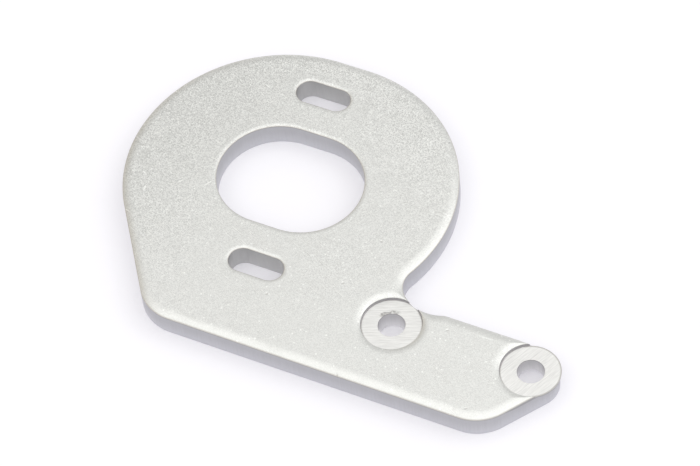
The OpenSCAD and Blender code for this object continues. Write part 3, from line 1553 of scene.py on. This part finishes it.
@dataclass(frozen=True)
class Coined:
    """Finish of the coined seats: bright, with straight fine marks and painted shade
    round each seat's edge.

    Attributes:
        dull: Colour of the darkest marks.
        pale: Colour of the bright metal between them.
        rim: Colour of the painted shade line round each seat and of torn metal.
        seat_shade_share: Strength of that painted shade line.
        torn_share: Strength of that colour on torn metal.
        roughness: Roughness.
        ways: Direction of the marks on the inner and on the outer seat, in degrees.
        between: Places along X at which the inner seat's marks give way, in
            millimetres.
        mark: Width of the marks in millimetres.
        crumb: Size of the crumbs of torn metal in millimetres.
        torn_height: Height of torn metal against that of the marks.
        burrs: Torn places at the inner hole: middle, half length and half width, turn.
    """

    dull: Color = (0.72, 0.715, 0.685, 1.0)
    pale: Color = (0.99, 0.985, 0.95, 1.0)
    rim: Color = (0.36, 0.34, 0.31, 1.0)
    seat_shade_share: float = 0.62
    torn_share: float = 0.45
    roughness: float = 0.36
    ways: tuple[float, float] = (21.5, 66.0)
    between: tuple[float, float] = (27.4, 27.6)
    mark: float = 0.13
    crumb: float = 0.22
    torn_height: float = 8.0
    burrs: tuple[tuple[float, ...], ...] = (
        (17.75, -13.1, 0.75, 0.38, 40.0),
        (18.7, -12.5, 0.95, 0.4, 12.0),
    )

    def material(self) -> bpy.types.Material:
        """Makes the material.

        The marks are a noise drawn out along their direction, and torn metal is the
        crumbs of another noise inside the burrs. Shade is painted as a dark line
        round the seat's edge.

        Returns:
            The material.
        """
        metal = Metal("coined_aluminium")
        inner, outer = (
            metal.noise(metal.placed(-way, (0.06, 1.0, 1.0)), self.mark, 3.0, 0.7)
            for way in self.ways
        )
        outer_side = metal.ramp(ALONG_X, self.between)
        lines = inner * (1.0 - outer_side) + outer * outer_side
        color = metal.graph.mix(lines.step(0.15, 0.85), self.dull, self.pale)
        _, seat = metal.parts(metal.section)
        # Painted shade: a dark line round the seat's edge.
        line = self.seat_shade_share * (1.0 - seat.step(0.07, 0.23))
        color = metal.graph.mix(line, color, self.rim)
        crumb_at = metal.placed(-20.0, (0.5, 1.0, 1.0))
        crumbs = metal.noise(crumb_at, self.crumb, 3.0, 0.7)
        first, second = (metal.spot(*burr) for burr in self.burrs)
        torn = (first + second).capped() * crumbs.step(0.44, 0.62)
        return metal.finish(
            Base_Color=metal.graph.mix(self.torn_share * torn, color, self.rim),
            Roughness=self.roughness,
            Normal=metal.bumps(lines + torn * self.torn_height, 0.01),
        )


@dataclass(frozen=True)
class Cut:
    """Finish of a wall cut in the tool: streaks across the sheet, paler where it broke,
    with shade painted as a dark line along its upper edge.

    Attributes:
        name: Name of the material.
        sheared: Colour of the smoothly cut upper part.
        broken: Colour of the broken lower part.
        brow: Height of the painted shade line along the wall's upper edge.
        sunk: How much lower that edge is round the arm's end.
        arm_end: Step along X over which it gets there.
        border: Heights between which the broken part gives way to the cut one.
        ragged: How far the streaks shift that border up and down.
        streak: Colour of the streaks.
        streak_width: Width of the streaks in millimetres.
        streak_share: Strength of the streaks.
        line: Colour of the painted shade line.
        edge_shade_share: Strength of that painted shade line.
        roughness: Roughness.
    """

    name: str
    sheared: Color
    broken: Color
    brow: float
    sunk: float = 0.0
    arm_end: tuple[float, float] = (35.2, 36.4)
    border: tuple[float, float] = (0.0, 2.2)
    ragged: float = 0.6
    streak: Color = (0.2, 0.2, 0.21, 1.0)
    streak_width: float = 0.25
    streak_share: float = 0.12
    line: Color = (0.2, 0.19, 0.18, 1.0)
    edge_shade_share: float = 0.42
    roughness: float = 0.45

    def material(self) -> bpy.types.Material:
        """Makes the material.

        The streaks are a noise drawn out over the height. It also makes the border
        between the cut and the broken part ragged. Shade is painted as a dark line
        along the upper edge.

        Returns:
            The material.
        """
        metal = Metal(self.name)
        at = metal.graph.vector("MULTIPLY", metal.section, (1.0, 0.06, 1.0))[0]
        streaks = metal.noise(at, self.streak_width, 3.0, 0.6)
        _, height = metal.parts(metal.section)
        border = (height + (streaks - 0.5) * self.ragged).step(*self.border)
        color = metal.graph.mix(border, self.broken, self.sheared)
        dark = (streaks - 0.35) * self.streak_share
        color = metal.graph.mix(dark, color, self.streak)
        # Painted shade: a dark line along the wall's upper edge, lower round the arm's
        # end.
        top = height + self.sunk * metal.ramp(ALONG_X, self.arm_end)
        line = top.step(self.brow - 0.2, self.brow - 0.08) * self.edge_shade_share
        return metal.finish(
            Base_Color=metal.graph.mix(line, color, self.line),
            Roughness=self.roughness,
            Normal=metal.bumps(streaks, 0.01),
        )


FINISHES: dict[Finish, Tumbled | Coined | Cut] = {
    Finish.TUMBLED: Tumbled(),
    Finish.COINED: Coined(),
    Finish.SHEARED: Cut(
        name="sheared_aluminium",
        sheared=(0.505, 0.505, 0.525, 1.0),
        broken=(0.64, 0.64, 0.67, 1.0),
        brow=2.66,
        sunk=0.26,
    ),
    Finish.OPENED: Cut(
        name="opening_aluminium",
        sheared=(0.505, 0.505, 0.52, 1.0),
        broken=(0.65, 0.65, 0.675, 1.0),
        brow=2.9,
    ),
    Finish.SLOTTED: Cut(
        name="slot_aluminium",
        sheared=(0.57, 0.57, 0.56, 1.0),
        broken=(0.61, 0.61, 0.605, 1.0),
        brow=3.2,
    ),
    # The holes' walls are paler: partly the burnished metal of the punch, partly
    # painted light for the light that the bright floor throws up into the holes.
    Finish.PUNCHED: Cut(
        name="punched_aluminium",
        sheared=(0.67, 0.665, 0.665, 1.0),
        broken=(0.87, 0.865, 0.87, 1.0),
        brow=2.46,
    ),
    Finish.PRESSED: Cut(
        name="pressed_aluminium",
        sheared=(0.66, 0.65, 0.7, 1.0),
        broken=(0.66, 0.65, 0.7, 1.0),
        brow=2.7,
    ),
}


@dataclass(frozen=True)
class Lamp:
    """Rectangular area lamp.

    Attributes:
        name: Its name.
        position: Its middle, in metres.
        turn: Its turn from shining straight down, in degrees about X, Y and Z.
        size: Its two sides, in metres.
        power: Its power, in watts.
    """

    name: str
    position: tuple[float, float, float]
    turn: tuple[float, float, float]
    size: tuple[float, float]
    power: float

    def build(self) -> None:
        """Hangs the lamp."""
        data = bpy.data.lights.new(self.name, "AREA")
        data.shape = "RECTANGLE"
        data.size, data.size_y = self.size
        data.energy = self.power
        lamp = bpy.data.objects.new(self.name, data)
        lamp.location = self.position
        lamp.rotation_euler = [math.radians(angle) for angle in self.turn]
        bpy.context.scene.collection.objects.link(lamp)


@dataclass(frozen=True)
class Studio:
    """Pale floor, soft light from above, and the camera.

    Attributes:
        focal: Focal length of the camera in millimetres.
        film: Width of its film in millimetres.
        nearest: Nearest distance that it sees, in metres.
        position: Place of the camera in millimetres.
        forward: Direction in which it looks.
        up: Direction that is up in its picture.
        floor_half: Half the side of the floor, in metres.
        floor_z: Height of the floor, in metres.
        paper: Colour of the floor.
        glow: Light that the floor gives off where it is seen straight, in gloss or
            through glass.
        dome: Colour of the surroundings.
        horizon: Their colour low down on the left.
        lamps: The lamps.
    """

    focal: float = 182.85
    film: float = 36.0
    nearest: float = 0.01
    position: tuple[float, float, float] = (130.68, -211.79, 327.86)
    forward: tuple[float, float, float] = (-0.2996, 0.5131, -0.8044)
    up: tuple[float, float, float] = (-0.2961, 0.7515, 0.5896)
    floor_half: float = 3.0
    floor_z: float = -0.00002
    paper: Color = (0.75, 0.745, 0.75, 1.0)
    glow: Color = (0.25, 0.245, 0.27, 1.0)
    dome: Color = (0.75, 0.75, 0.76, 1.0)
    horizon: Color = (0.64, 0.6, 0.545, 1.0)
    lamps: tuple[Lamp, ...] = (
        Lamp("softbox", (0.14, -0.14, 0.9), (0.0, 0.0, 45.0), (2.0, 1.4), 4.9),
        Lamp("side_light", (0.8, 0.45, 0.65), (0.0, 54.0, 29.0), (0.6, 0.6), 1.0),
    )

    def floor(self) -> None:
        """Lays the wide pale floor just under the plate."""
        half = self.floor_half
        plan = [(-half, -half), (half, -half), (half, half), (-half, half)]
        mesh = bpy.data.meshes.new("studio_floor")
        corners = [(x, y, self.floor_z) for x, y in plan]
        mesh.from_pydata(corners, [], [(0, 1, 2, 3)])
        mesh.materials.append(self.floor_material())
        piece = bpy.data.objects.new("studio_floor", mesh)
        bpy.context.scene.collection.objects.link(piece)

    def floor_material(self) -> bpy.types.Material:
        """Makes the floor's material: dull paper, brighter where it is seen.

        Returns:
            The material.
        """
        material = bpy.data.materials.new("studio_floor")
        material.use_nodes = True
        graph = Graph(material.node_tree)
        rays = graph.node("ShaderNodeLightPath").outputs
        seen = Value(graph, rays["Is Camera Ray"]) + Value(graph, rays["Is Glossy Ray"])
        seen = (seen + Value(graph, rays["Is Transmission Ray"])).capped()
        paper = graph.node("ShaderNodeBsdfDiffuse", values={"Color": self.paper})
        glow = graph.node("ShaderNodeEmission", values={"Color": self.glow})
        both = {0: paper.outputs[0], 1: glow.outputs[0]}
        bright = graph.node("ShaderNodeAddShader", values=both)
        either = {0: seen, 1: paper.outputs[0], 2: bright.outputs[0]}
        shader = graph.node("ShaderNodeMixShader", values=either)
        graph.node("ShaderNodeOutputMaterial", values={"Surface": shader.outputs[0]})
        return material

    def world(self) -> None:
        """Pale surroundings, darker and warmer low down on the left.

        The brightness follows 0.6 x + 0.6 z + 0.35 y^2 of the direction.
        """
        world = bpy.data.worlds.new("studio")
        bpy.context.scene.world = world
        world.use_nodes = True
        graph = Graph(world.node_tree)
        way = graph.node("ShaderNodeTexCoord").outputs["Generated"]
        parts = graph.node("ShaderNodeSeparateXYZ", values={"Vector": way}).outputs
        x, y, z = (Value(graph, part) for part in parts)
        side = 0.6 * x + 0.6 * z + 0.35 * y * y
        sky = graph.mix(side.step(-0.35, 0.25), self.horizon, self.dome)
        shader = graph.node("ShaderNodeBackground", values={"Color": sky})
        graph.node("ShaderNodeOutputWorld", values={"Surface": shader.outputs[0]})

    def camera(self) -> None:
        """Camera in the place that the photograph was taken from."""
        data = bpy.data.cameras.new("camera")
        data.lens = self.focal
        data.sensor_width = self.film
        data.clip_start = self.nearest
        forward, up = Vector(self.forward).normalized(), Vector(self.up)
        right = forward.cross(up).normalized()
        up = right.cross(forward)
        turn = Matrix((right, up, -forward)).transposed().to_4x4()
        camera = bpy.data.objects.new("camera", data)
        camera.matrix_world = Matrix.Translation(Vector(self.position) * MM) @ turn
        bpy.context.scene.collection.objects.link(camera)
        bpy.context.scene.camera = camera

    def build(self) -> None:
        """Sets the whole studio up."""
        self.floor()
        self.world()
        for lamp in self.lamps:
            lamp.build()
        self.camera()
        bpy.context.scene.view_settings.view_transform = "Standard"


def main() -> None:
    """Builds the plate and the studio."""
    logging.basicConfig(level=logging.INFO, format="%(message)s")
    plate = Plate()
    piece = plate.build()
    plate.dress(piece)
    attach(piece, "root")
    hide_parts("motor_plate")
    LOG.info("plate: %d triangles", len(piece.data.polygons))
    studio = Studio()
    studio.build()
    LOG.info("studio: floor, %d lamps and camera", len(studio.lamps))


if __name__ == "__main__":
    main()
